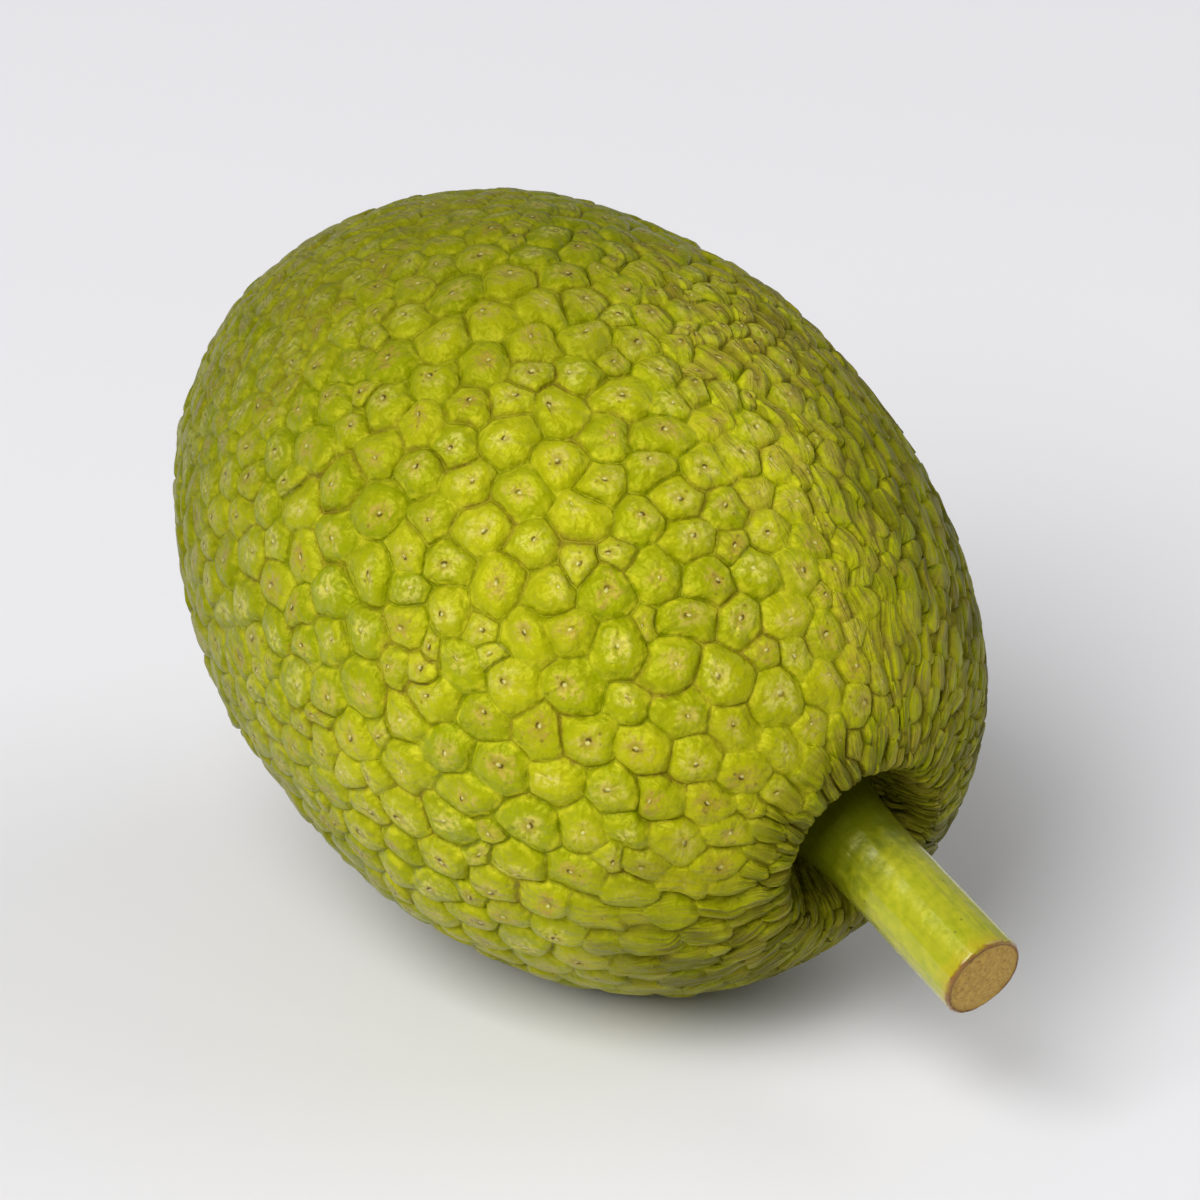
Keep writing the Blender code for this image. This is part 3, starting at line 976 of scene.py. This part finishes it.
    # Painted light and shade: the rind is painted lighter on one flank, as if lit, and darker away
    # from it and by the hollow, a little lighter again on the far side, and lighter where the
    # facets are crowded.
    middle = add_node(tree, "VectorMath", {0: place, 1: tuple(CENTRE)}, operation="SUBTRACT")
    flank = add_node(tree, "VectorMath", {0: middle, 1: tuple(PAINTED_LIGHT_SIDE)}, out="Value",
                     operation="DOT_PRODUCT")
    flank = add_node(tree, "Math", {0: cloud, 1: 0.022, 2: flank}, operation="MULTIPLY_ADD")
    painted_light = add_node(tree, "MapRange", {0: flank, 1: PAINTED_LIGHT_LOW, 2: PAINTED_LIGHT_HIGH}, **SMOOTH)
    painted_brightness = add_node(tree, "MapRange", {0: painted_light, 3: 0.53, 4: 1.0})
    far_painted_light = add_node(tree, "MapRange", {0: flank, 1: 0.0, 2: -60 * MM, 4: 0.82})
    painted_brightness = add_node(tree, "Math", {0: painted_brightness, 1: far_painted_light}, operation="MAXIMUM")
    hollow_painted_shade = add_node(tree, "MapRange", {0: fold, 1: 0.02, 2: 0.4, 3: 1.0, 4: 0.8})
    crowd_painted_light = add_node(tree, "MapRange", {0: crowd, 3: 1.0, 4: 1.38})
    for share in (hollow_painted_shade, crowd_painted_light):
        painted_brightness = add_node(tree, "Math", {0: painted_brightness, 1: share}, operation="MULTIPLY")

    # The painted light and shade worked out above, and a hue that is greener towards the blossom
    # end.
    lengthways = add_node(tree, "SeparateXYZ", {0: middle})
    hue = add_node(tree, "MapRange", {0: lengthways, 1: -90 * MM, 2: 80 * MM, 3: 0.517, 4: 0.507})
    colour = add_node(tree, "HueSaturation", {"Hue": hue, "Value": painted_brightness, "Color": colour})
    tree.links.new(colour, shader.inputs["Base Color"])

    # Fine relief in millimetres: creases out from the bead, pores, lumps and the groove's line.
    ray = add_node(tree, "VectorMath", {0: flat}, operation="NORMALIZE")
    across, along = (add_node(tree, "SeparateXYZ", {0: ray}, out=k) for k in (0, 1))
    own = add_node(tree, "Math", {0: luck, 1: 70.0}, operation="MULTIPLY")
    ray = add_node(tree, "CombineXYZ", {0: across, 1: along, 2: own})
    creases = add_node(tree, "TexNoise", {"Vector": ray, "Scale": 1.5, "Detail": 1.0})
    fade = add_node(tree, "MapRange", {0: radius, 1: 0.4, 2: 1.8})
    for share in (fade, pad):
        creases = add_node(tree, "Math", {0: creases, 1: share}, operation="MULTIPLY")
    wrinkles = add_node(tree, "Math", {0: wrinkles, 1: fold}, operation="MULTIPLY")
    ridges = add_node(tree, "Math", {0: ridges, 1: shady}, operation="MULTIPLY")
    relief = 0.0
    for part, height in (
        (creases, 0.5), (pores, 0.2), (lumps, 1.0), (wrinkles, 3.6),
        (ridges, 2.0), (deep, -0.22), (bead, 0.10), (speck, -0.14),
    ):
        relief = add_node(tree, "Math", {0: part, 1: height, 2: relief}, operation="MULTIPLY_ADD")
    normal = add_node(tree, "Bump", {"Height": relief, "Distance": MM, "Strength": 1.0})
    tree.links.new(normal, shader.inputs["Normal"])
    rough = add_node(tree, "MapRange", {0: shady, 3: 0.31, 4: 0.52})
    tree.links.new(rough, shader.inputs["Roughness"])
    # The specular level follows the painted light: lower where the rind is painted darker.
    gloss = add_node(tree, "MapRange", {0: painted_light, 3: 0.15, 4: 0.5})
    tree.links.new(gloss, shader.inputs["Specular IOR Level"])
    shader.inputs["Specular Tint"].default_value = linear("#E8E44C")
    return material


def stalk_skin():
    """Green stalk skin: smooth and waxy, mottled and faintly streaked along its length, painted
    dark where it stands in the hollow, as the shade there, and yellowed, then brown, next to the
    cut."""
    material, tree, shader = new_material("waxy_green_stalk")
    place = add_node(tree, "Attribute", out="Vector", attribute_name="stalk_place")
    along = add_node(tree, "SeparateXYZ", {0: place}, out=2)
    drawn = add_node(tree, "VectorMath", {0: place, 1: (1.0, 1.0, 0.12)}, operation="MULTIPLY")
    streaks = add_node(tree, "TexNoise", {"Vector": drawn, "Scale": 0.9, "Detail": 3.0})
    mottle = add_node(tree, "TexNoise", {"Vector": place, "Scale": 0.45, "Detail": 4.0})
    tone = add_node(tree, "MapRange", {0: mottle, 1: 0.32, 2: 0.68})
    colour = add_node(tree, "Mix", {0: tone, 6: linear("#9AA10A"), 7: linear("#B1B01C")}, **RGBA)
    tone = add_node(tree, "MapRange", {0: streaks, 1: 0.5, 2: 0.75, 4: 0.5})
    layers = [(tone, "#8A8A14")]

    # Next to the cut the skin yellows, then dries to a thin brown edge; by its foot it is painted
    # dark as the shade in the hollow.
    # Each of the three has a ragged end, between two heights above the foot in millimetres.
    for raggedness, start, end, share, tint in (
        (6.0, 51.5, 57.5, 0.75, "#B39C14"),
        (2.4, 53.5, 54.6, 1.0, "#80521C"),
        (8.0, 37.0, 21.0, 0.88, "#3C4400"),
    ):
        ragged = add_node(tree, "Math", {0: mottle, 1: raggedness, 2: along},
                          operation="MULTIPLY_ADD")
        tone = add_node(tree, "MapRange", {0: ragged, 1: start, 2: end, 4: share}, **SMOOTH)
        layers.append((tone, tint))
    specks = add_node(tree, "TexVoronoi", {"Vector": place, "Scale": 0.25})
    specks = add_node(tree, "MapRange", {0: specks, 1: 0.10, 2: 0.05, 4: 0.8})
    layers.append((specks, "#5E5A1C"))
    for share, tint in layers:
        colour = add_node(tree, "Mix", {0: share, 6: colour, 7: linear(tint)}, **RGBA)
    tree.links.new(colour, shader.inputs["Base Color"])
    relief = add_node(tree, "Math", {0: streaks, 1: 0.5, 2: mottle}, operation="MULTIPLY_ADD")
    normal = add_node(tree, "Bump", {"Height": relief, "Distance": 0.28 * MM, "Strength": 1.0})
    tree.links.new(normal, shader.inputs["Normal"])
    shader.inputs["Roughness"].default_value = 0.3
    shader.inputs["Specular Tint"].default_value = linear("#F2F08C")
    shader.inputs["Coat Weight"].default_value = 0.75
    shader.inputs["Coat Roughness"].default_value = 0.17
    return material


def dried_cut():
    """Dried cut stalk: tan woody fibre, finely mottled with pores, with a dark shrunken rim."""
    material, tree, shader = new_material("dried_cut_stalk")
    place = add_node(tree, "Attribute", out="Vector", attribute_name="stalk_place")
    flat = add_node(tree, "VectorMath", {0: place, 1: (1, 1, 0)}, operation="MULTIPLY")
    radius = add_node(tree, "VectorMath", {0: flat}, out="Value", operation="LENGTH")
    mottle = add_node(tree, "TexNoise", {"Vector": place, "Scale": 1.3, "Detail": 4.0})
    tone = add_node(tree, "MapRange", {0: mottle, 1: 0.3, 2: 0.7})
    colour = add_node(tree, "Mix", {0: tone, 6: linear("#A37F2E"), 7: linear("#C6A249")}, **RGBA)
    pores = add_node(tree, "TexVoronoi", {"Vector": place, "Scale": 0.75})
    pores = add_node(tree, "MapRange", {0: pores, 1: 0.24, 2: 0.10, 4: 0.5})
    ragged = add_node(tree, "Math", {0: mottle, 1: 1.2, 2: radius}, operation="MULTIPLY_ADD")
    rim = add_node(tree, "MapRange", {0: ragged, 1: 7.9, 2: 8.7}, **SMOOTH)
    for share, tint in ((pores, "#7A5826"), (rim, "#71481A")):
        colour = add_node(tree, "Mix", {0: share, 6: colour, 7: linear(tint)}, **RGBA)
    tree.links.new(colour, shader.inputs["Base Color"])
    normal = add_node(tree, "Bump", {"Height": mottle, "Distance": 0.4 * MM, "Strength": 1.0})
    tree.links.new(normal, shader.inputs["Normal"])
    shader.inputs["Roughness"].default_value = 0.75
    return material


# ---------------------------------------------------------------- the pieces

rind = make_rind()
rind.data.materials.append(rind_material())
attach(rind, "root")
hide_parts("fruit_body")

stalk = make_stalk()
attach(stalk, "root")
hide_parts("stem")

# ---------------------------------------------------------------- the studio

CAMERA_AZIMUTH, CAMERA_ELEVATION, CAMERA_DISTANCE = 52.7, 26.0, 1.232
LENS, SENSOR = 189.0, 36.0
AIM_ACROSS, AIM_DOWN = 5.15 * MM, 2.3 * MM
# Soft lights: degrees round from the camera and up, the side of the square, and the watts.
LIGHT_DISTANCE = 6.0
KEY_LIGHT, FILL_LIGHT = (-38, 46, 4.5, 382), (108, 38, 5.0, 94)
ROOM_LIGHT = 0.25
FLOOR_REACH = 6.0


def add_floor():
    """A floor of plain pale paper, matt, so that it shows a soft shadow and no reflection."""
    corners = FLOOR_REACH * np.array([(-1, -1, 0), (1, -1, 0), (1, 1, 0), (-1, 1, 0)])
    mesh = bpy.data.meshes.new("floor")
    mesh.from_pydata(corners.tolist(), [], [(0, 1, 2, 3)])
    floor = bpy.data.objects.new("floor", mesh)
    bpy.context.scene.collection.objects.link(floor)
    material, _, shader = new_material("pale_paper")
    shader.inputs["Base Color"].default_value = linear("#EFEEF1")
    shader.inputs["Roughness"].default_value = 0.7
    mesh.materials.append(material)


def add_camera():
    """A long lens that looks down at the fruit past its stem. It aims beside the fruit's
    middle, so that fruit and stem together fill the middle of the picture."""
    back = towards(CAMERA_AZIMUTH, CAMERA_ELEVATION)
    across = Vector((0, 0, 1)).cross(back).normalized()
    aim = Vector(CENTRE) + across * AIM_ACROSS - back.cross(across) * AIM_DOWN
    data = bpy.data.cameras.new("camera")
    data.lens = LENS
    data.sensor_width = SENSOR
    camera = bpy.data.objects.new("camera", data)
    camera.location = aim + back * CAMERA_DISTANCE
    camera.rotation_euler = back.to_track_quat("Z", "Y").to_euler()
    bpy.context.scene.collection.objects.link(camera)
    bpy.context.scene.camera = camera


def add_light(name, beside_camera, elevation, size, power):
    """A square soft light aimed at the fruit."""
    back = towards(CAMERA_AZIMUTH + beside_camera, elevation)
    data = bpy.data.lights.new(name, "AREA")
    data.size = size
    data.energy = power
    lamp = bpy.data.objects.new(name, data)
    lamp.location = Vector((0, 0, BELLY)) + back * LIGHT_DISTANCE
    lamp.rotation_euler = back.to_track_quat("Z", "Y").to_euler()
    bpy.context.scene.collection.objects.link(lamp)


def add_room():
    """Even pale light from all round, and colours shown as they are."""
    world = bpy.data.worlds.new("studio")
    world.use_nodes = True
    background = world.node_tree.nodes["Background"]
    background.inputs["Color"].default_value = linear("#F4F4F6")
    background.inputs["Strength"].default_value = ROOM_LIGHT
    bpy.context.scene.world = world
    bpy.context.scene.view_settings.view_transform = "Standard"


add_floor()
add_camera()
add_light("key", *KEY_LIGHT)
add_light("fill", *FILL_LIGHT)
add_room()
